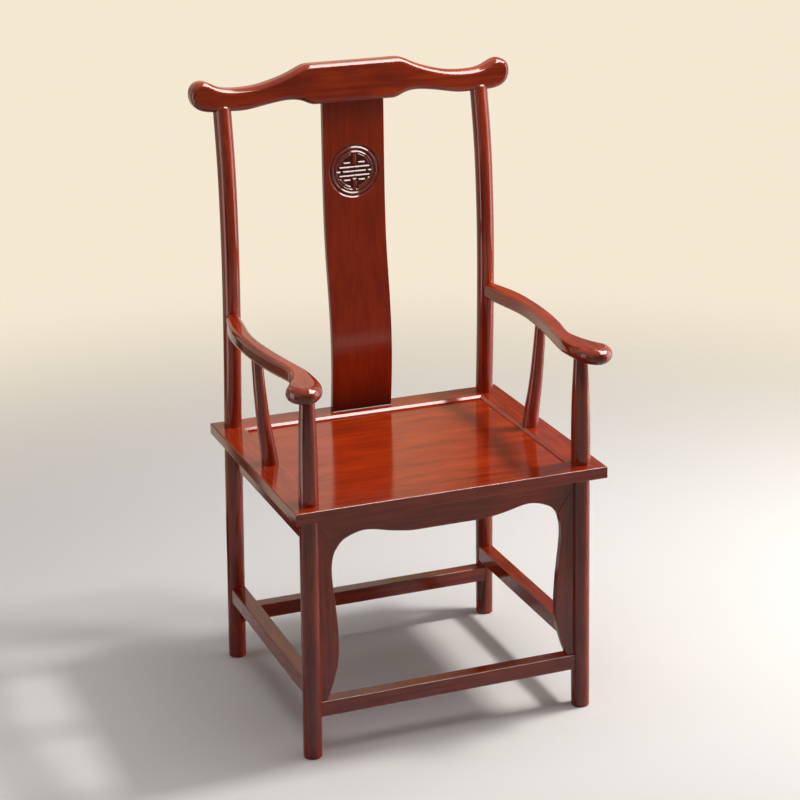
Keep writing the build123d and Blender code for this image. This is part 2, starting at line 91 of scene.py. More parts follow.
class Slot(Enum):
    """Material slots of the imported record."""

    FRAME = "lacquered_hardwood_frame"
    SPLAT = "lacquered_hardwood_splat"
    PANEL = "lacquered_hardwood_panel"
    BATTEN = "sealed_hardwood_batten"


# ---- colours and nodes ---------------------------------------------------
def linear(colour: str) -> tuple[float, float, float, float]:
    """Turns an sRGB hex colour into linear values.

    Args:
        colour: Six hex digits after a hash.

    Returns:
        Red, green and blue in linear light, and an alpha of one.
    """
    parts = [int(colour[i:i + 2], 16) / 255 for i in (1, 3, 5)]
    light = [c / 12.92 if c <= 0.04045 else ((c + 0.055) / 1.055) ** 2.4 for c in parts]
    return (light[0], light[1], light[2], 1.0)


def add_node(
    tree: Tree,
    kind: str,
    settings: Optional[dict[str | int, object]] = None,
    links: Optional[dict[str | int, Socket]] = None,
) -> bpy.types.Node:
    """Adds one shader node to a tree.

    Args:
        tree: Tree that gets the node.
        kind: Blender's name of the node type, without the "ShaderNode" before it.
        settings: Values of the node's inputs, by name or by number, or of its properties.
        links: Sockets to join to the node's inputs, by name or by number.

    Returns:
        The new node.
    """
    node = tree.nodes.new(f"ShaderNode{kind}")
    for name, value in (settings or {}).items():
        if isinstance(name, int) or name in node.inputs:
            node.inputs[name].default_value = value
        else:
            setattr(node, name, value)
    for name, socket in (links or {}).items():
        tree.links.new(socket, node.inputs[name])
    return node


def add_material(name: str) -> bpy.types.Material:
    """Adds a material whose node tree is still empty."""
    material = bpy.data.materials.new(name)
    material.use_nodes = True
    material.node_tree.nodes.clear()
    return material


def add_object(name: str, data: bpy.types.ID) -> Piece:
    """Adds an object to the scene."""
    made = bpy.data.objects.new(name, data)
    bpy.context.scene.collection.objects.link(made)
    return made


def add_plane(name: str, corners: Iterable[Iterable[float]], material: bpy.types.Material) -> Piece:
    """Adds a flat sheet with four corners, in metres."""
    mesh = bpy.data.meshes.new(name)
    mesh.from_pydata([tuple(corner) for corner in corners], [], [(0, 1, 2, 3)])
    mesh.materials.append(material)
    return add_object(name, mesh)


# ---- finishes ------------------------------------------------------------
@dataclass(frozen=True)
class LacqueredElm:
    """Elm, planed and sanded, stained red and sprayed with clear gloss lacquer.

    The stain sits deeper in the open early wood, so that fine darker lines follow
    the fibres. The lacquer is level but not perfectly flat, which softens what it
    mirrors by a little. Widths, lengths and heights are in millimetres.
    """

    title: str
    light_tone: str
    middle_tone: str
    dark_tone: str
    pore_tone: str
    figure_width: float = 6.0
    figure_length: float = 150.0
    # Real pores are about 0.3 mm wide: they are drawn coarser, or they would be lost.
    pore_width: float = 1.3
    pore_length: float = 60.0
    pore_share: float = 0.18
    pore_range: tuple[float, float] = (0.50, 0.74)
    cloud_width: float = 36.0
    cloud_length: float = 90.0
    cloud_share: float = 0.42
    tone_stops: Triple = (0.37, 0.50, 0.64)
    ripple_size: float = 26.0
    ripple_height: float = 0.012
    wood_roughness: float = 0.42
    coat_roughness: float = 0.11
    coat_weight: float = 1.0
    lacquer_ior: float = 1.5
    # Tone and share of the darkening: pooled stain with painted shade in the carving, and painted shade at
    # the splat's foot.
    stain_and_shade_tone: str = "#2a0905"
    stain_and_shade_share: float = 0.85

    def material(self, grain: Grain) -> bpy.types.Material:
        """Finds or makes the material with its fibres in one direction.

        Args:
            grain: Way that the fibres run.

        Returns:
            The material, shared by all pieces that ask for the same grain.
        """
        name = f"{self.title}_{grain.value}"
        found = bpy.data.materials.get(name)
        if found is not None:
            return found
        made = add_material(name)
        tree = made.node_tree
        place = add_node(tree, "TexCoord").outputs["Object"]
        shader = add_node(
            tree,
            "BsdfPrincipled",
            {
                "Roughness": self.wood_roughness,
                "IOR": self.lacquer_ior,
                "Specular IOR Level": 0.0,
                "Coat Weight": self.coat_weight,
                "Coat Roughness": self.coat_roughness,
                "Coat IOR": self.lacquer_ior,
            },
            {"Base Color": self._colour(tree, place, grain), "Coat Normal": self._ripple(tree, place)},
        )
        add_node(tree, "OutputMaterial", links={"Surface": shader.outputs["BSDF"]})
        return made

    def _colour(self, tree: Tree, place: Socket, grain: Grain) -> Socket:
        """Figure of the growth rings, the clouding of the stain, the dark pores, and pooled stain with
        painted shade in the carving and at the splat's foot.
        """

        def noise(across: float, along: float, settings: dict[str, float]) -> Socket:
            """Noise with one cell to a width across the fibres and a length along them."""
            scale = [1 / (across * MM)] * 3
            scale["xyz".index(grain.value)] = 1 / (along * MM)
            cells = add_node(tree, "Mapping", {"Scale": scale}, {"Vector": place}).outputs["Vector"]
            return add_node(tree, "TexNoise", {"Scale": 1.0, **settings}, {"Vector": cells}).outputs["Fac"]

        def tint(colour: Socket, share: Socket, tone: str) -> Socket:
            """Mixes a flat tone into a colour by a share."""
            settings = {"data_type": "RGBA", COLOUR_B: linear(tone)}
            mixed = add_node(tree, "Mix", settings, {"Factor": share, COLOUR_A: colour})
            return mixed.outputs[COLOUR_MIXED]

        rings = {"Detail": 5.0, "Roughness": 0.55, "Distortion": 0.6}
        figure = noise(self.figure_width, self.figure_length, rings)
        cloud = noise(self.cloud_width, self.cloud_length, {"Detail": 2.0})
        pores = noise(self.pore_width, self.pore_length, {"Detail": 3.0, "Roughness": 0.6})
        settings = {"data_type": "FLOAT", "Factor": self.cloud_share}
        blend = add_node(tree, "Mix", settings, {FLOAT_A: figure, FLOAT_B: cloud})
        ramp = add_node(tree, "ValToRGB", links={"Fac": blend.outputs[FLOAT_MIXED]})
        ramp.color_ramp.elements.new(self.tone_stops[1])
        tones = (self.dark_tone, self.middle_tone, self.light_tone)
        for element, position, tone in zip(ramp.color_ramp.elements, self.tone_stops, tones):
            element.position = position
            element.color = linear(tone)
        low, high = self.pore_range
        settings = {"From Min": low, "From Max": high, "To Max": self.pore_share}
        depth = add_node(tree, "MapRange", settings, {"Value": pores})
        wood = tint(ramp.outputs["Color"], depth.outputs["Result"], self.pore_tone)
        # Painted shade, with pooled stain in the carving: the point attribute mixes in a near-black tone.
        stain_and_shade = add_node(tree, "Attribute", {"attribute_name": STAIN_AND_SHADE}).outputs["Fac"]
        share = add_node(tree, "Math", {"operation": "MULTIPLY", 1: self.stain_and_shade_share}, {0: stain_and_shade})
        return tint(wood, share.outputs[0], self.stain_and_shade_tone)

    def _ripple(self, tree: Tree, place: Socket) -> Socket:
        """Very low waves that sprayed lacquer keeps as it levels."""
        settings = {"Scale": 1 / (self.ripple_size * MM), "Detail": 1.0}
        waves = add_node(tree, "TexNoise", settings, {"Vector": place}).outputs["Fac"]
        settings = {"Strength": 1.0, "Distance": self.ripple_height * MM}
        return add_node(tree, "Bump", settings, {"Height": waves}).outputs["Normal"]


# Red-brown with a fine straight figure, which shows wherever the light is broad.
FRAME_WOOD = LacqueredElm("stained_elm_frame_gloss_lacquer", "#a6350c", "#90290a", "#761d08", "#521306")
# A darker and calmer board, so that the carving stands out from it.
SPLAT_WOOD = LacqueredElm(
    "stained_elm_splat_gloss_lacquer", "#91280a", "#832309", "#771d09", "#5c1407",
    figure_width=5.0, figure_length=260.0, cloud_width=20.0, cloud_length=110.0,
)
# The broad figure of a flat-sawn board, which glows orange where light falls on it.
PANEL_WOOD = LacqueredElm(
    "stained_elm_seat_gloss_lacquer", "#aa370f", "#992e0d", "#84260b", "#5a1307",
    figure_width=11.0, cloud_width=34.0, cloud_length=130.0, cloud_share=0.6,
)
# One thin coat of sealer, which leaves the underside dull and brown.
BATTEN_WOOD = LacqueredElm(
    "stained_elm_underside_sealed", "#6a2616", "#581c10", "#47150c", "#2e0d08",
    coat_weight=0.25, coat_roughness=0.3,
)
WOODS = {Slot.FRAME: FRAME_WOOD, Slot.SPLAT: SPLAT_WOOD, Slot.PANEL: PANEL_WOOD, Slot.BATTEN: BATTEN_WOOD}


# ---- curves --------------------------------------------------------------
def smooth_curve(
    points: Iterable[tuple[float, ...]],
    count: int,
    start: Optional[tuple[float, ...]] = None,
    end: Optional[tuple[float, ...]] = None,
) -> Points:
    """Draws a curve with even curvature through points, as a bent batten would.

    Args:
        points: What the curve passes through, in order.
        count: How many points to return.
        start: Direction at the first point, free where it is left out.
        end: Direction at the last point, free where it is left out.

    Returns:
        Points along the curve, evenly spaced by chord.
    """
    knots = np.array(list(points), float)
    size = len(knots)
    span = np.linalg.norm(np.diff(knots, axis=0), axis=1)
    at = np.concatenate(([0.0], np.cumsum(span)))
    system = np.zeros((size, size))
    right = np.zeros_like(knots)
    for i in range(1, size - 1):
        before, after = span[i - 1], span[i]
        system[i, i - 1:i + 2] = after, 2 * (before + after), before
        right[i] = 3 * (
            after / before * (knots[i] - knots[i - 1]) + before / after * (knots[i + 1] - knots[i])
        )
    for row, near, way, length in ((0, 1, start, span[0]), (size - 1, size - 2, end, span[-1])):
        if way is None:
            low, high = min(row, near), max(row, near)
            system[row, row], system[row, near] = 2, 1
            right[row] = 3 * (knots[high] - knots[low]) / length
        else:
            system[row, row] = 1
            right[row] = np.array(way, float) / np.linalg.norm(way)
    slope = np.linalg.solve(system, right)
    where = np.linspace(0, at[-1], count)
    index = np.clip(np.searchsorted(at, where, side="right") - 1, 0, size - 2)
    length = span[index][:, None]
    t = ((where - at[index]) / span[index])[:, None]
    return (
        (2 * t**3 - 3 * t**2 + 1) * knots[index]
        + (t**3 - 2 * t**2 + t) * length * slope[index]
        + (3 * t**2 - 2 * t**3) * knots[index + 1]
        + (t**3 - t**2) * length * slope[index + 1]
    )


def arc(x: float, y: float, radius: float, start: float, end: float, count: int) -> list[tuple[float, float]]:
    """Points on an arc of a circle.

    Args:
        x: Centre across.
        y: Centre up.
        radius: Radius of the circle.
        start: First angle in degrees.
        end: Last angle in degrees.
        count: How many points to return.

    Returns:
        The points in order.
    """
    angles = np.radians(np.linspace(start, end, count))
    return [(x + radius * math.cos(a), y + radius * math.sin(a)) for a in angles]


def inward(outline: Points) -> Points:
    """Steps that move each point of a counter-clockwise outline in by one unit, with mitred corners."""
    ahead = np.roll(outline, -1, axis=0) - outline
    ahead /= np.linalg.norm(ahead, axis=1)[:, None]
    normal = np.stack([-ahead[:, 1], ahead[:, 0]], axis=1)
    before = np.roll(normal, 1, axis=0)
    total = normal + before
    return total / (1 + np.sum(normal * before, axis=1))[:, None]


def counter_clockwise(outline: Points) -> Points:
    """The outline in counter-clockwise order."""
    x, y = outline[:, 0], outline[:, 1]
    area = np.sum(x * np.roll(y, -1) - np.roll(x, -1) * y)
    return outline if area > 0 else outline[::-1].copy()


def on_edge(grain: Grain, middle: float) -> Placing:
    """Stands a board on edge along X, its face to the front, or along Y, its face to the right."""

    def place(flat: Points, rise: Points) -> Points:
        """Places flat points by their heights above the middle of the board."""
        along, z = flat.T
        plan = (along, middle - rise) if grain is Grain.ALONG_X else (middle + rise, along)
        return np.column_stack([*plan, z])

    return place


# ---- meshes --------------------------------------------------------------
@dataclass
class Shape:
    """Surface of one piece, in millimetres about the middle of the seat."""

    name: str
    points: list[Points] = field(default_factory=list)
    faces: list[tuple[int, ...]] = field(default_factory=list)
    size: int = 0
    # How much darker each point is drawn: pooled stain and painted shade.
    stain_and_shade: Optional[Points] = None

    def loft(self, rings: Iterable[Points]) -> None:
        """Skins a stack of rings, each counter-clockwise seen from the last one, and closes the ends."""
        rows = []
        for points in rings:
            rows.append(list(range(self.size, self.size + len(points))))
            self.points.append(points)
            self.size += len(points)
        for low, high in zip(rows, rows[1:]):
            self.faces += zip(low, low[1:] + low[:1], high[1:] + high[:1], high)
        self.faces += [tuple(reversed(rows[0])), tuple(rows[-1])]

    def slab(self, outline: Points, thickness: float, rounding: Points, place: Placing, steps: int) -> None:
        """Makes a board from an outline, with its edges rounded.

        Args:
            outline: Counter-clockwise points of the outline.
            thickness: Thickness of the board.
            rounding: Radius of the rounding at each point.
            place: Turns flat points and their heights above the middle into places in space.
            steps: Divisions of each rounded edge.
        """
        step = inward(outline)
        half = thickness / 2
        angles = np.linspace(0, math.pi / 2, steps + 1)
        levels = [(-1, a) for a in reversed(angles)] + [(1, a) for a in angles]
        rings = []
        for sign, angle in levels:
            inset = (rounding * (1 - math.cos(angle)))[:, None]
            rise = sign * (half - rounding * (1 - math.sin(angle)))
            rings.append(place(outline + step * inset, rise))
        self.loft(rings)

    def place(self, slot: Slot, grain: Grain) -> None:
        """Makes the Blender object, dresses it and hands it to the frame in its node's place.

        Args:
            slot: Material slot of the record that the piece belongs to.
            grain: Way that the fibres of the piece run.
        """
        shift = np.array([0.0, Layout.plan_shift, 0.0])
        corners = (np.concatenate(self.points) + shift) * MM
        mesh = bpy.data.meshes.new(self.name)
        mesh.from_pydata(corners.tolist(), [], self.faces)
        mesh.validate()
        mesh.shade_smooth()
        mesh.set_sharp_from_angle(angle=SHARP_ANGLE)
        if self.stain_and_shade is not None:
            mesh.attributes.new(STAIN_AND_SHADE, "FLOAT", "POINT").data.foreach_set("value", self.stain_and_shade)
        mesh.materials.append(WOODS[slot].material(grain))
        piece = add_object(f"{self.name}_finished", mesh)
        weights = piece.modifiers.new("level_faces", "WEIGHTED_NORMAL")
        weights.keep_sharp = True
        weights.weight = FACE_WEIGHT
        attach(piece, "root")
        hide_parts(self.name)
        LOG.info("%s: %d points, %d faces", piece.name, self.size, len(self.faces))

    def place_pair(self, slot: Slot, grain: Grain) -> None:
        """Places the right-hand piece and its mirror image, under the name of each side."""
        points = [row * (-1.0, 1.0, 1.0) for row in self.points]
        left = Shape(f"{self.name}_left", points, [face[::-1] for face in self.faces], self.size)
        self.name += "_right"
        for shape in (self, left):
            shape.place(slot, grain)


# ---- sizes that the sub-assemblies share ---------------------------------
class Layout:
    """Plan and heights of the whole chair, in millimetres about the middle of the seat."""

    plan_shift = 4.5
    half_width = 295.0
    half_depth = 249.0
    seat_top = 480.0
    rail_thickness = 22.0
    rail_width = 56.0
    panel_drop = 6.0
    leg_x = 259.0
    leg_radius = 17.0
    splay_x = 5.5
    # Y of each pair of legs at the seat, and how much further back their feet stand.
    front_legs = (-212.0, -8.0)
    rear_legs = (220.0, 5.0)
    arm_top = 706.5
    arm_thickness = 29.5
    crest_bottom = 1076.0
    low_stretcher_top = 106.0
    side_stretcher_top = 149.0
    bury = 8.0
    arris_steps = 5
    seat_bottom = seat_top - rail_thickness

    @classmethod
    def leg_middle(cls, legs: tuple[float, float], z: float) -> Points:
        """Middle of the right-hand one of a pair of legs at one height."""
        share = (cls.seat_top - z) / cls.seat_top
        return np.array([cls.leg_x + cls.splay_x * share, legs[0] + legs[1] * share, z])


# ---- sub-assemblies ------------------------------------------------------
@dataclass
class Legs:
    """The two front legs with their arm posts, and the two rear legs with their back posts."""

    foot_rounding: float = 3.0
    back_post_radius: float = 16.6
    back_post_top_x: float = 253.0
    back_post_lap: float = 14.0
    cap_rounding: float = 10.0
    sides: int = 72
    foot_steps: int = 6
    cap_steps: int = 8
    arm_stations: int = 24
    back_stations: int = 64
    arm_post: Outline = (
        (480, 17.7), (520, 17.4), (588, 16.4), (643, 14.3), (677, 12.6),
    )
    back_curve: Outline = (
        (220, 480), (214, 590), (210.5, 700), (210, 800), (214, 895), (225, 1000), (239, 1076),
    )

    def build(self) -> None:
        """Makes the four legs."""
        front = Shape("front_leg")
        self._lower_leg(front, Layout.front_legs)
        self._arm_post(front)
        front.place_pair(Slot.FRAME, Grain.ALONG_Z)
        rear = Shape("rear_post")
        self._lower_leg(rear, Layout.rear_legs)
        self._back_post(rear)
        rear.place_pair(Slot.FRAME, Grain.ALONG_Z)

    def _circle(self, centre: Points, radius: float, tangent: Points) -> Points:
        """Ring of points round a centre, square to a tangent that is nearly upright."""
        angles = np.linspace(0, 2 * math.pi, self.sides, endpoint=False)
        up = tangent / np.linalg.norm(tangent)
        side = np.cross([0.0, 1.0, 0.0], up)
        side /= np.linalg.norm(side)
        ahead = np.cross(up, side)
        return centre + radius * (np.outer(np.cos(angles), side) + np.outer(np.sin(angles), ahead))

    def _lower_leg(self, shape: Shape, legs: tuple[float, float]) -> None:
        """Round leg below the seat, which leans out towards a foot with a worn edge."""
        rings = []
        for angle in np.radians(np.linspace(90, 0, self.foot_steps)):
            z = self.foot_rounding * (1 - math.sin(angle))
            radius = Layout.leg_radius - self.foot_rounding * (1 - math.cos(angle))
            rings.append(self._circle(Layout.leg_middle(legs, z), radius, UP))
        top = Layout.leg_middle(legs, Layout.seat_top - Layout.rail_thickness / 2)
        shape.loft([*rings, self._circle(top, Layout.leg_radius, UP)])

    def _arm_post(self, shape: Shape) -> None:
        """Round post from the seat up into the armrest, which thins towards its head."""
        stations = smooth_curve(self.arm_post, self.arm_stations)
        bury = np.array([Layout.bury, 0.0])
        rings = []
        for z, radius in [stations[0] - bury, *stations, stations[-1] + bury]:
            rings.append(self._circle(Layout.leg_middle(Layout.front_legs, z), radius, UP))
        shape.loft(rings)

    def _back_post(self, shape: Shape) -> None:
        """Round post that bends back above the seat and laps over the crest with a domed cap."""
        (near_y, near_z), (top_y, top_z) = self.back_curve[-2:]
        slope = (top_y - near_y) / (top_z - near_z)
        head = (top_y + slope * self.back_post_lap, top_z + self.back_post_lap)
        line = smooth_curve([*self.back_curve, head], self.back_stations)
        share = (line[:, 1] - Layout.seat_top) / (Layout.crest_bottom - Layout.seat_top)
        x = Layout.leg_x + (self.back_post_top_x - Layout.leg_x) * share
        middle = np.column_stack([x, line])
        tangents = np.gradient(middle, axis=0)
        first = middle[0] - UP * Layout.rail_thickness / 2
        rings = [self._circle(first, self.back_post_radius, UP)]
        cap = middle[-1] - tangents[-1] / np.linalg.norm(tangents[-1]) * self.cap_rounding
        for centre, tangent in zip(middle, tangents):
            if centre[2] < cap[2]:
                rings.append(self._circle(centre, self.back_post_radius, tangent))
        for angle in np.radians(np.linspace(0, 90, self.cap_steps)):
            centre = cap + (middle[-1] - cap) * math.sin(angle)
            radius = self.back_post_radius - self.cap_rounding * (1 - math.cos(angle))
            rings.append(self._circle(centre, radius, tangents[-1]))
        shape.loft(rings)


@dataclass
class Seat:
    """Mitred frame of four rails round a sunk panel; the battens below it stay as packed."""

    arris: float = 1.8
    inner_arris: float = 0.9
    bevel_width: float = 5.0
    bevel_drop: float = 4.0
    mitre_easing: float = 0.25
    panel_thickness: float = 12.0
    tongue: float = 8.0
    tongue_top: float = 4.0
    tongue_bottom: float = 2.0

    def build(self) -> None:
        """Makes the rails and the panel."""
        profile = self._profile()
        for side, cosine, sine in (("front", 1, 0), ("back", -1, 0), ("left", 0, -1), ("right", 0, 1)):
            grain = Grain.ALONG_X if cosine else Grain.ALONG_Y
            self._rail(side, cosine, sine, profile).place(Slot.FRAME, grain)
        self._panel().place(Slot.PANEL, Grain.ALONG_X)

    def _profile(self) -> Points:
        """Section of a rail: distance in from the outer face, and height."""
        a, ease, steps = self.arris, self.inner_arris, Layout.arris_steps
        top, low, width = Layout.seat_top, Layout.seat_bottom, Layout.rail_width
        tilt = math.degrees(math.atan2(self.bevel_drop, self.bevel_width))
        reach = ease * math.tan(math.radians(tilt / 2))
        section = arc(a, low + a, a, 180, 270, steps)[::-1]
        section += arc(a, top - a, a, 180, 90, steps)
        section += arc(width - self.bevel_width - reach, top - ease, ease, 90, 90 - tilt, steps)
        section += [(width, top - self.bevel_drop), (width, low)]
        return np.array(section)[::-1]

    def _rail(self, side: str, cosine: int, sine: int, profile: Points) -> Shape:
        """One rail between its two mitres, drawn along the front and turned to its side."""
        half_long, half_across = Layout.half_width, Layout.half_depth
        if not cosine:
            half_long, half_across = half_across, half_long
        inset, z = profile[:, 0], profile[:, 1]
        across = inset - half_across
        ends = []
        for sign in (-1, 1):
            run = sign * (half_long - inset - self.mitre_easing / 2)
            ends.append(np.column_stack([cosine * run - sine * across, sine * run + cosine * across, z]))
        shape = Shape(f"seat_rail_{side}")
        shape.loft(ends)
        return shape

    def _panel(self) -> Shape:
        """Flat panel with a tongue all round that hides in the rails."""
        x = Layout.half_width - Layout.rail_width
        y = Layout.half_depth - Layout.rail_width
        top = Layout.seat_top - Layout.panel_drop
        low = top - self.panel_thickness
        tongue_low, tongue_high = low + self.tongue_bottom, top - self.tongue_top
        levels = (
            (0.0, low), (0.0, tongue_low), (self.tongue, tongue_low),
            (self.tongue, tongue_high), (0.0, tongue_high), (0.0, top),
        )
        corners = np.array([(-1, -1), (1, -1), (1, 1), (-1, 1)])
        shape = Shape("seat_panel")
        shape.loft([np.column_stack([corners * (x + out, y + out), np.full(4, z)]) for out, z in levels])
        return shape


@dataclass
class Aprons:
    """Boards that brace the legs below the seat: the cusped front set, the sides and the back."""

    thickness: float = 14.0
    depth: float = 56.0
    face_offset: float = 4.0
    arris: float = 1.3
    joint_easing: float = 0.05
    edge_steps: int = 4
    ear_points: int = 110
    brow_points: int = 70
    ear_edge: Outline = (
        (235, 106), (223, 138), (213, 177), (211, 220), (213, 260), (217, 300),
        (220.5, 337), (219, 372), (212, 390),
    )
    brow_edge: Outline = (
        (212, 390), (203, 402), (188, 411), (171, 416.5), (155, 418), (118, 411), (88, 405.5), (63, 403),
    )

    def build(self) -> None:
        """Makes the front set, the two side boards and the back board."""
        self._brow().place(Slot.FRAME, Grain.ALONG_X)
        self._ear().place_pair(Slot.FRAME, Grain.ALONG_Z)
        x, front, rear = Layout.leg_x, Layout.front_legs[0], Layout.rear_legs[0]
        self._straight("side_apron", Grain.ALONG_Y, x, front, rear).place_pair(Slot.FRAME, Grain.ALONG_Y)
        self._straight("back_apron", Grain.ALONG_X, rear, -x, x).place(Slot.FRAME, Grain.ALONG_X)

    def _front_place(self, flat: Points, rise: Points) -> Points:
        """Places the front boards on the leaning plane of the front legs."""
        leg_y, splay = Layout.front_legs
        face = leg_y - self.face_offset + splay / Layout.seat_top * (Layout.seat_top - flat[:, 1])
        return np.column_stack([flat[:, 0], face + self.thickness / 2 - rise, flat[:, 1]])

    def _board(self, name: str, outline: Points, worked: Points, place: Placing) -> Shape:
        """One board whose worked edges are eased and whose joint edges stay crisp."""
        shape = Shape(name)
        rounding = np.where(worked, self.arris, self.joint_easing)
        shape.slab(outline, self.thickness, rounding, place, self.edge_steps)
        return shape

    def _brow(self) -> Shape:
        """Top board with its ogee lower edge, drawn counter-clockwise as seen from the front."""
        half, high = Layout.leg_x, Layout.seat_bottom
        curve = smooth_curve(self.brow_edge, self.brow_points, (-0.6, 0.8), (-1, 0))
        outline = np.concatenate([curve * (-1, 1), curve[::-1], [(half, high), (-half, high)]])
        worked = np.arange(len(outline)) < 2 * len(curve)
        return self._board("front_apron_top", outline, worked, self._front_place)

    def _ear(self) -> Shape:
        """Right-hand ear, from its mitre under the seat down to the stretcher."""
        half, low, high = Layout.leg_x, self.ear_edge[0][1], Layout.seat_bottom
        curve = smooth_curve(self.ear_edge, self.ear_points, (-0.5, 1), (-0.6, 0.8))
        outline = np.concatenate([curve[::-1], [(half, low), (half, high)]])
        worked = np.arange(len(outline)) < len(curve)
        return self._board("front_apron", outline, worked, self._front_place)

    def _straight(self, name: str, grain: Grain, leg: float, start: float, end: float) -> Shape:
        """Straight board under a rail, near the middle of its legs, with its lower edge eased."""
        low, high = Layout.seat_bottom - self.depth, Layout.seat_bottom
        outline = np.array([(start, low), (end, low), (end, high), (start, high)])
        worked = np.array([True, True, False, False])
        return self._board(name, outline, worked, on_edge(grain, leg + self.face_offset - self.thickness / 2))


@dataclass
class Stretchers:
    """Low rails front and back, and the two side rails a step above them."""

    low_height: float = 29.0
    low_depth: float = 26.0
    low_inset: float = 5.0
    side_height: float = 30.0
    side_depth: float = 28.0
    side_inset: float = 1.0
    arris: float = 1.5
    end_bury: float = 10.0

    def build(self) -> None:
        """Makes the four stretchers."""
        self._low("front", Layout.front_legs, self.low_inset).place(Slot.FRAME, Grain.ALONG_X)
        self._low("back", Layout.rear_legs, -self.low_inset).place(Slot.FRAME, Grain.ALONG_X)
        self._side().place_pair(Slot.FRAME, Grain.ALONG_Y)

    def _section(self, height: float, depth: float, top: float) -> Points:
        """Rectangle with eased corners: distance across from the middle, and height."""
        a = self.arris
        x, low, high = depth / 2 - a, top - height + a, top - a
        points: list[tuple[float, float]] = []
        for corner_x, corner_z, start in ((-x, low, 180), (x, low, 270), (x, high, 0), (-x, high, 90)):
            points += arc(corner_x, corner_z, a, start, start + 90, Layout.arris_steps)
        return np.array(points)

    def _low(self, name: str, legs: tuple[float, float], inset: float) -> Shape:
        """Front or back stretcher, buried a little in its legs."""
        leg_x, leg_y, _ = Layout.leg_middle(legs, Layout.low_stretcher_top - self.low_height / 2)
        section = self._section(self.low_height, self.low_depth, Layout.low_stretcher_top)
        reach = leg_x - Layout.leg_radius + self.end_bury
        shape = Shape(f"stretcher_{name}")
        rows = section[:, 0] + (leg_y + inset), section[:, 1]
        shape.loft([np.column_stack([np.full(len(section), x), *rows]) for x in (-reach, reach)])
        return shape

    def _side(self) -> Shape:
        """Right-hand side stretcher."""
        middle_z = Layout.side_stretcher_top - self.side_height / 2
        x, front_y, _ = Layout.leg_middle(Layout.front_legs, middle_z)
        rear_y = Layout.leg_middle(Layout.rear_legs, middle_z)[1]
        section = self._section(self.side_height, self.side_depth, Layout.side_stretcher_top)
        across = x - self.side_inset - section[:, 0]
        bury = Layout.leg_radius - self.end_bury
        shape = Shape("stretcher")
        ends = front_y + bury, rear_y - bury
        shape.loft([np.column_stack([across, np.full(len(section), y), section[:, 1]]) for y in ends])
        return shape


@dataclass
class Arms:
    """Two serpentine armrests with ball ends, and the bowed spindle under each."""

    rounding: float = 8.4
    ball_rounding: float = 14.4
    ball_start: float = -150.0
    ball_full: float = -215.0
    rear_end: float = 211.0
    spindle_y: float = 1.0
    spindle_sides: int = 64
    spindle_stations: int = 40
    outline_points: int = 460
    edge_steps: int = 12
    outline: Outline = (
        (271, 200), (287, 132), (291, 60), (286, -32), (273, -111), (268, -146), (276.5, -180), (292.5, -212),
        (302, -233), (292.5, -258.5), (268.5, -269), (245, -251.5), (234.5, -210.5),
        (241.5, -134), (253, -63), (260.5, 0), (262, 80), (254, 140), (247.5, 200),
    )
    spindle: Outline = (
        (480, 257.5, 15.6), (508, 260.5, 14.5), (547, 266, 13.1), (600, 271.5, 11.8), (681, 276.8, 9.9),
    )

    def build(self) -> None:
        """Makes the armrests and spindles."""
        self._armrest().place_pair(Slot.FRAME, Grain.ALONG_Y)
        self._spindle().place_pair(Slot.FRAME, Grain.ALONG_Z)

    def _armrest(self) -> Shape:
        """Right-hand armrest: softly rounded along its length and full at its ball end."""
        curve = smooth_curve(self.outline, self.outline_points)
        tail = np.array([(self.outline[-1][0], self.rear_end), (self.outline[0][0], self.rear_end)])
        outline = counter_clockwise(np.concatenate([curve, tail]))
        share = np.clip((self.ball_start - outline[:, 1]) / (self.ball_start - self.ball_full), 0, 1)
        swell = share * share * (3 - 2 * share)
        rounding = self.rounding + (self.ball_rounding - self.rounding) * swell
        middle = Layout.arm_top - Layout.arm_thickness / 2

        def place(flat: Points, rise: Points) -> Points:
            """Lays the board flat at the height of the arm."""
            return np.column_stack([flat, middle + rise])

        shape = Shape("armrest")
        shape.slab(outline, Layout.arm_thickness, rounding, place, self.edge_steps)
        return shape

    def _spindle(self) -> Shape:
        """Right-hand spindle, bowed out and thinning towards the arm."""
        stations = smooth_curve(self.spindle, self.spindle_stations)
        angles = np.linspace(0, 2 * math.pi, self.spindle_sides, endpoint=False)
        circle = np.column_stack([np.cos(angles), np.sin(angles), np.zeros(len(angles))])
        bury = np.array([Layout.bury, 0, 0])
        shape = Shape("arm_spindle")
        shape.loft([
            (x, self.spindle_y, z) + radius * circle
            for z, x, radius in [stations[0] - bury, *stations, stations[-1] + bury]
        ])
        return shape


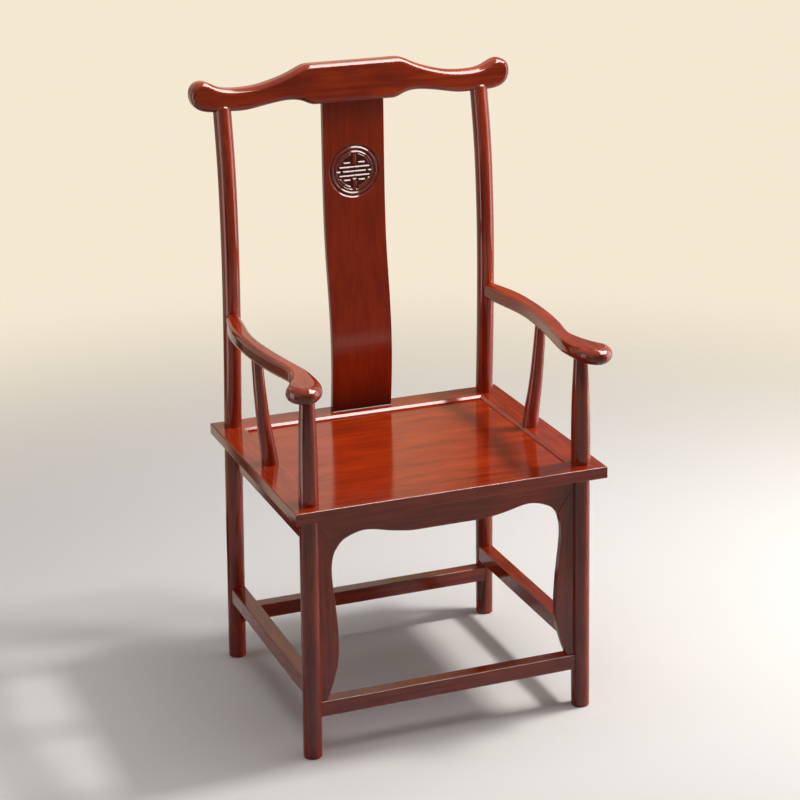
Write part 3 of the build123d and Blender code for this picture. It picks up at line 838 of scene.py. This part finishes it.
@dataclass
class Back:
    """Yoke crest rail and the curved splat with its carved roundel."""

    crest_front: float = 226.0
    crest_depth: float = 34.0
    crest_rounding: float = 10.5
    splat_width: float = 121.0
    splat_thickness: float = 12.0
    splat_arris: float = 1.5
    lacquer_bead: float = 1.7
    # Height over which the foot of the splat is drawn darker, as painted shade.
    painted_shade_reach: float = 100.0
    bead_steps: int = 6
    crest_steps: int = 10
    crest_points: int = 260
    headrest_points: int = 60
    underside_points: int = 50
    splat_points: int = 400
    crest_upper: Outline = (
        (86, 1151), (118, 1140), (158, 1126), (190, 1119), (225, 1117), (262, 1123), (290, 1134),
        (307, 1127), (312.5, 1108), (304, 1088), (285, 1079),
        (250, 1077), (215, 1076), (180, 1081), (150, 1086), (122, 1088), (100, 1084), (76, 1076),
    )
    splat_curve: Outline = (
        (215, 480), (209, 540), (207, 605), (216, 705), (229, 790), (236, 880), (238, 980), (239, 1076),
    )

    def build(self) -> None:
        """Makes the crest rail and the splat."""
        self._crest().place(Slot.FRAME, Grain.ALONG_X)
        self._splat().place(Slot.SPLAT, Grain.ALONG_Z)

    def _crest(self) -> Shape:
        """Raised headrest, low waists and blunt upturned ends, rounded all round."""
        right = smooth_curve(self.crest_upper, self.crest_points, (1, 0), (-1, 0))
        left = (right * (-1, 1))[::-1]
        bottom = np.linspace(right[-1], left[0], self.underside_points)[1:-1]
        top = np.linspace(left[-1], right[0], self.headrest_points)[1:-1]
        outline = counter_clockwise(np.concatenate([right, bottom, left, top]))
        place = on_edge(Grain.ALONG_X, self.crest_front + self.crest_depth / 2)
        shape = Shape("crest_rail")
        rounding = np.full(len(outline), self.crest_rounding)
        shape.slab(outline, self.crest_depth, rounding, place, self.crest_steps)
        return shape

    def _splat(self) -> Shape:
        """Curved board whose front face carries the carving, with a bead of lacquer at its foot."""
        roundel = Roundel()
        half, arris, thick = self.splat_width / 2, self.splat_arris, self.splat_thickness
        turn = np.radians(np.linspace(0, 90, Layout.arris_steps))
        near, far = arris * (1 - np.cos(turn)), arris * (1 - np.sin(turn))
        face = roundel.columns(half - arris)[1:-1]
        section_x = np.concatenate([near - half, face, half - near[::-1], half - near, near[::-1] - half])
        section_in = np.concatenate([far, 0 * face, far[::-1], thick - far, thick - far[::-1]])
        carved = np.zeros(len(section_x), bool)
        carved[len(near):len(near) + len(face)] = True
        front = section_in < thick / 2

        turn = np.radians(np.linspace(90, 0, self.bead_steps))
        bead_z = Layout.seat_top + self.lacquer_bead * (1 - np.sin(turn))
        bead_y = self.lacquer_bead * (np.cos(turn) - 1)
        rows = roundel.rows(Layout.seat_top - Layout.bury, Layout.crest_bottom + Layout.bury)
        line = smooth_curve(self.splat_curve, self.splat_points)
        rings, stain_and_shade_rows = [], []
        for z in np.union1d(rows, bead_z):
            depth = np.where(carved, roundel.depth(section_x, z), 0.0)
            # Painted shade: darker towards the foot of the splat, and in the carved recesses, where it also
            # stands for pooled stain.
            painted_foot_shade = np.clip(1 - (z - Layout.seat_top) / self.painted_shade_reach, 0, 1) ** 2
            stain_and_shade_rows.append(np.maximum(np.clip(depth / roundel.floor, 0, 1), painted_foot_shade))
            y = np.interp(z, line[:, 1], line[:, 0]) + np.where(front, np.interp(z, bead_z, bead_y), 0.0)
            rings.append(np.column_stack([section_x, y + section_in + depth, np.full(len(section_x), z)]))
        shape = Shape("back_splat", stain_and_shade=np.concatenate(stain_and_shade_rows))
        shape.loft(rings)
        return shape


@dataclass
class Roundel:
    """Round fret carved in the splat: two ring grooves, and straight bars left standing in a sunk field."""

    centre_z: float = 943.3
    radius: float = 50.6
    step: float = 0.5
    floor: float = 1.9
    wall: float = 2.0
    outer_groove: tuple[float, float] = (44.2, 50.6)
    inner_groove: tuple[float, float] = (36.0, 42.4)
    groove_depth: float = 2.4
    arc_band: tuple[float, float] = (30.4, 33.4)
    arc_rows: float = 1.6
    arc_gap: float = 7.5
    bar_half: float = 1.35
    bars: Outline = ((0, 0.0, 23.0), (0, 27.5, 35.5), (1, 0.0, 30.0), (2, 8.0, 21.0))
    row_pitch: float = 8.2
    row_shift: float = -1.5
    stem_half: float = 3.4
    stem_overlap: float = 3.0
    margin: float = 1.0
    plain_step: float = 12.0
    gouge_softness: float = 0.03

    def columns(self, limit: float) -> Points:
        """Positions across the splat, close together over the carving."""
        reach = self.radius + self.margin
        fine = np.arange(-reach, reach + self.step, self.step)
        return np.concatenate([[-limit], fine[np.abs(fine) < limit - self.margin], [limit]])

    def rows(self, low: float, high: float) -> Points:
        """Heights up the splat, close together over the carving."""
        reach = self.radius + self.margin
        start, end = self.centre_z - reach, self.centre_z + reach
        fine = np.arange(start, end, self.step)
        return np.concatenate([
            np.arange(low, start, self.plain_step), fine, np.arange(end, high, self.plain_step), [high],
        ])

    def depth(self, x: Points, z: float) -> Points:
        """How far the surface is cut back at points across one height."""
        v = z - self.centre_z
        r = np.hypot(x, v)
        cut = np.maximum(self._groove(r, self.outer_groove), self._groove(r, self.inner_groove))
        field_edge = np.clip((self.inner_groove[0] - r) / self.wall, 0, 1)
        standing = self._standing(np.abs(x), abs(v - self.row_shift), r)
        sunk = self.floor * field_edge * (1 - standing)
        return np.maximum(cut, sunk)

    def _groove(self, r: Points, band: tuple[float, float]) -> Points:
        """V groove between two radii, its bottom rounded by the gouge."""
        middle = (band[0] + band[1]) / 2
        half = (band[1] - band[0]) / 2
        away = np.sqrt(((r - middle) / half) ** 2 + self.gouge_softness)
        return self.groove_depth * np.clip(1 - away, 0, 1)

    def _bar(self, along: Points, across: float, start: float, end: float) -> Points:
        """One bar that stands from the field, as a share of the full height."""
        outside = np.maximum(np.maximum(start - along, along - end), abs(across) - self.bar_half)
        return np.clip(0.5 - outside / self.wall, 0, 1)

    def _standing(self, u: Points, v: float, r: Points) -> Points:
        """Shape of the fret in one quarter, which its other quarters mirror."""
        pitch = self.row_pitch
        parts = [self._bar(u, v - row * pitch, start, end) for row, start, end in self.bars]
        middle = (self.arc_band[0] + self.arc_band[1]) / 2
        half = (self.arc_band[1] - self.arc_band[0]) / 2
        stem = np.maximum(u - self.stem_half, 2 * pitch - self.stem_overlap - v)
        band = np.maximum(np.abs(r - middle) - half, np.maximum(self.arc_rows * pitch - v, self.arc_gap - u))
        parts += [np.clip(0.5 - outside / self.wall, 0, 1) for outside in (stem, band)]
        return np.maximum.reduce(parts)


# ---- studio --------------------------------------------------------------
@dataclass(frozen=True)
class Card:
    """Flat card that only the gloss sees: a window, curtain, wall, lantern or lit floor of the room.

    It starts at a corner and spans a side and a rise, in metres. Its glow may change
    smoothly along the side to the far radiance.
    """

    name: str
    corner: Triple
    side: Triple
    rise: Triple
    radiance: float
    colour: str
    far_radiance: Optional[float] = None

    def stand(self) -> None:
        """Makes the card and keeps it out of everything but the gloss."""
        corner, side, rise = (Vector(v) for v in (self.corner, self.side, self.rise))
        material = add_material(self.name)
        tree = material.node_tree
        glow = add_node(tree, "Emission", {"Color": linear(self.colour), "Strength": self.radiance})
        if self.far_radiance is not None:
            place = add_node(tree, "TexCoord").outputs["Object"]
            unit = side / side.length_squared
            along = add_node(tree, "VectorMath", {"operation": "DOT_PRODUCT", 1: unit}, {0: place})
            start = corner.dot(unit)
            settings = {"From Min": start, "From Max": start + 1, "interpolation_type": "SMOOTHSTEP"}
            settings |= {"To Min": self.radiance, "To Max": self.far_radiance}
            level = add_node(tree, "MapRange", settings, {"Value": along.outputs["Value"]})
            tree.links.new(level.outputs["Result"], glow.inputs["Strength"])
        add_node(tree, "OutputMaterial", links={"Surface": glow.outputs["Emission"]})
        card = add_plane(self.name, [corner, corner + side, corner + side + rise, corner + rise], material)
        card.visible_camera = False
        card.visible_diffuse = False
        card.visible_shadow = False
        card.visible_transmission = False


@dataclass(frozen=True)
class Lamp:
    """Soft rectangular lamp that lights matt colour only."""

    name: str
    place: Triple
    aim: Triple
    width: float
    height: float
    radiance: float
    colour: str

    def hang(self) -> None:
        """Makes the lamp; its radiance is that of its face, where a lit white wall is one."""
        data = bpy.data.lights.new(self.name, "AREA")
        data.shape = "RECTANGLE"
        data.size, data.size_y = self.width, self.height
        data.energy = self.radiance * math.pi * self.width * self.height
        data.color = linear(self.colour)[:3]
        lamp = add_object(self.name, data)
        lamp.location = self.place
        way = Vector(self.aim) - Vector(self.place)
        lamp.rotation_euler = way.to_track_quat("-Z", "Y").to_euler()
        lamp.visible_camera = False
        lamp.visible_glossy = False


@dataclass
class Studio:
    """Pale floor that fades into a pale room, soft light from the upper right, and the camera."""

    azimuth: float = -21.4343
    elevation: float = 19.2673
    roll: float = -0.473799
    focal_pixels: float = 2175.21
    frame_pixels: float = 800.0
    sensor: float = 36.0
    eye: Triple = (-1378.42, -3497.03 + Layout.plan_shift, 1880.26)
    sight: float = 200.0
    floor_half: float = 8.0
    floor_fade: tuple[float, float] = (1.0, 2.8)
    floor_colour: str = "#e2e5e9"
    floor_bounce: str = "#888786"
    backdrop_colour: str = "#f5e8d2"
    fill_colour: str = "#fff8f0"
    fill_level: float = 0.02
    lamps: tuple[Lamp, ...] = (
        Lamp("ceiling_lamp", (0.2, -0.3, 2.75), (0.2, -0.3, 0), 2.6, 1.8, 2.5, "#fff8f2"),
        Lamp("skylight_lamp", (1.22, -0.16, 2.75), (1.22, -0.16, 0), 0.32, 0.32, 150, "#fff8ee"),
        Lamp("right_window_lamp", (2.5, -0.5, 0.35), (0, -0.5, 0.3), 1.9, 0.7, 14, "#fff6ea"),
        Lamp("left_window_lamp", (-2.2, 0.4, 0.7), (0, 0, 0.6), 1.2, 1.2, 1.8, "#fff6ee"),
        Lamp("rear_lamp", (-0.4, 3.2, 1.8), (0, 0, 0.6), 2.4, 1.8, 1.2, "#fdf6ee"),
    )
    cards: tuple[Card, ...] = (
        Card("skylight_card", (0.6, -2.8, 3.3), (3.8, 0, 0), (0, 3.1, 0), 19, "#fffaf6"),
        Card("rear_skylight_card", (0.6, 0.3, 3.3), (3.8, 0, 0), (0, 1.4, 0), 6, "#fffaf6"),
        Card("left_window_card", (-1.5, -0.35, 0.05), (0, 0.62, 0), (0, 0, 1.15), 3.5, "#ffe4da"),
        Card("right_window_card", (2, -1.2, 0.3), (0, 1.5, 0), (0, 0, 1.3), 4.2, "#fff8f2"),
        Card("front_flag_card", (0.3, -3.3, 0), (2.2, 0, 0), (0, 0, 3.2), 0.27, "#ffeac6"),
        Card("front_room_card", (0.3, -3.3, 0), (-3.8, 0, 0), (0, 0, 3.2), 0.3, "#f6e8da", 0.5),
        Card("skirting_card", (0.79, 1.18, 0), (-3.74, -1.43, 0), (0, 0, 0.085), 0.03, "#d8ccc0"),
        Card("wall_card", (0.365, 1.026, 0), (-3.32, -1.27, 0), (0, 0, 2.8), 0.82, "#ffeed5"),
        Card("wall_shade_card", (0.365, 1.026, 0), (0.44, 0.168, 0), (0, 0, 2.8), 0.76, "#ffe2b8", 0.18),
        Card("grey_curtain_card", (0.792, 1.19, 0), (0.126, -0.322, 0), (0, 0, 2.6), 0.32, "#ffeee2"),
        Card("white_curtain_card", (0.918, 0.868, 0), (0.324, -0.84, 0), (0, 0, 2.6), 1, "#fffdf6"),
        Card("stand_bar_card", (-0.435, 0.6, 0), (-0.06, -0.022, 0), (0, 0, 2.1), 0.03, "#ffeedd"),
        Card("stand_scroll_card", (-0.5, 0.575, 0.36), (-0.38, -0.14, 0), (0, 0, 0.17), 0.24, "#ffe8cc"),
        Card("stand_foot_card", (-0.37, 0.49, 0), (-0.36, -0.13, 0), (0, 0, 0.14), 0.06, "#f4eee8"),
        Card("lantern_card", (-0.5, 0.575, 1.08), (-0.26, -0.095, 0), (0, 0, 0.7), 1.5, "#fffaf2"),
        Card("front_floor_card", (-2.2, -2.9, 0.003), (4.8, 0, 0), (0, 2.1, 0), 0.7, "#fff4e6"),
    )

    def build(self) -> None:
        """Sets up the whole studio."""
        self._camera()
        self._floor()
        self._world()
        for lamp in self.lamps:
            lamp.hang()
        for card in self.cards:
            card.stand()
        bpy.context.scene.view_settings.view_transform = "Standard"

    def _camera(self) -> None:
        """Camera that looks down at the chair from its front left, with a slight roll."""
        data = bpy.data.cameras.new("camera")
        data.sensor_width = self.sensor
        data.lens = self.focal_pixels / self.frame_pixels * self.sensor
        data.clip_end = self.sight
        stand = Matrix.Translation(Vector(self.eye) * MM)
        for angle, axis in ((self.azimuth, "Z"), (90 - self.elevation, "X"), (self.roll, "Z")):
            stand = stand @ Matrix.Rotation(math.radians(angle), 4, axis)
        camera = add_object("camera", data)
        camera.matrix_world = stand
        bpy.context.scene.camera = camera

    def _floor(self) -> None:
        """Wide matt floor that keeps the shadow and fades out before its edge."""
        material = add_material("matt_floor_paint")
        tree = material.node_tree
        place = add_node(tree, "TexCoord").outputs["Object"]
        reach = add_node(tree, "VectorMath", {"operation": "LENGTH"}, {0: place}).outputs["Value"]
        near, far = self.floor_fade
        settings = {"interpolation_type": "SMOOTHSTEP", "From Min": near, "From Max": far}
        fade = add_node(tree, "MapRange", settings, {"Value": reach}).outputs["Result"]
        path = add_node(tree, "LightPath").outputs
        links = {0: fade, 1: path["Is Camera Ray"]}
        unseen = add_node(tree, "Math", {"operation": "MULTIPLY"}, links).outputs[0]
        paint = add_node(tree, "BsdfDiffuse", {"Color": linear(self.floor_colour)}).outputs[0]
        dull = add_node(tree, "BsdfDiffuse", {"Color": linear(self.floor_bounce)}).outputs[0]
        gone = add_node(tree, "BsdfTransparent").outputs[0]
        base = add_node(tree, "MixShader", links={0: path["Is Diffuse Ray"], 1: paint, 2: dull}).outputs[0]
        mixed = add_node(tree, "MixShader", links={0: unseen, 1: base, 2: gone})
        add_node(tree, "OutputMaterial", links={"Surface": mixed.outputs[0]})
        h = self.floor_half
        floor = add_plane("studio_floor", [(-h, -h, 0), (h, -h, 0), (h, h, 0), (-h, h, 0)], material)

    def _world(self) -> None:
        """Pale room: what the camera and the gloss see, and a softer fill for matt surfaces."""
        world = bpy.data.worlds.new("pale_room")
        bpy.context.scene.world = world
        world.use_nodes = True
        tree = world.node_tree
        tree.nodes.clear()
        seen, fill = (
            add_node(tree, "Background", {"Color": linear(colour), "Strength": level}).outputs[0]
            for colour, level in ((self.backdrop_colour, 1.0), (self.fill_colour, self.fill_level))
        )
        path = add_node(tree, "LightPath").outputs
        chosen = path["Is Camera Ray"]
        for kind in ("Is Glossy Ray", "Is Transmission Ray"):
            chosen = add_node(tree, "Math", {"operation": "MAXIMUM"}, {0: chosen, 1: path[kind]}).outputs[0]
        mixed = add_node(tree, "MixShader", links={0: chosen, 1: fill, 2: seen})
        add_node(tree, "OutputWorld", links={"Surface": mixed.outputs[0]})


def dress_battens(nodes: dict[str, Piece]) -> None:
    """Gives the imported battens, whose shape is right, their sealed finish."""
    for name in ("seat_batten_1", "seat_batten_2"):
        node = nodes[name]
        node.data.materials.clear()
        node.data.materials.append(BATTEN_WOOD.material(Grain.ALONG_Y))
        LOG.info("%s: sealed finish", name)


def main() -> None:
    """Loads the frame and builds the chair around it."""
    logging.basicConfig(level=logging.INFO, format="%(name)s %(message)s")
    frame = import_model()
    Studio().build()
    for part in (Legs(), Seat(), Aprons(), Stretchers(), Arms(), Back()):
        part.build()
    dress_battens(frame["nodes"])


if __name__ == "__main__":
    main()
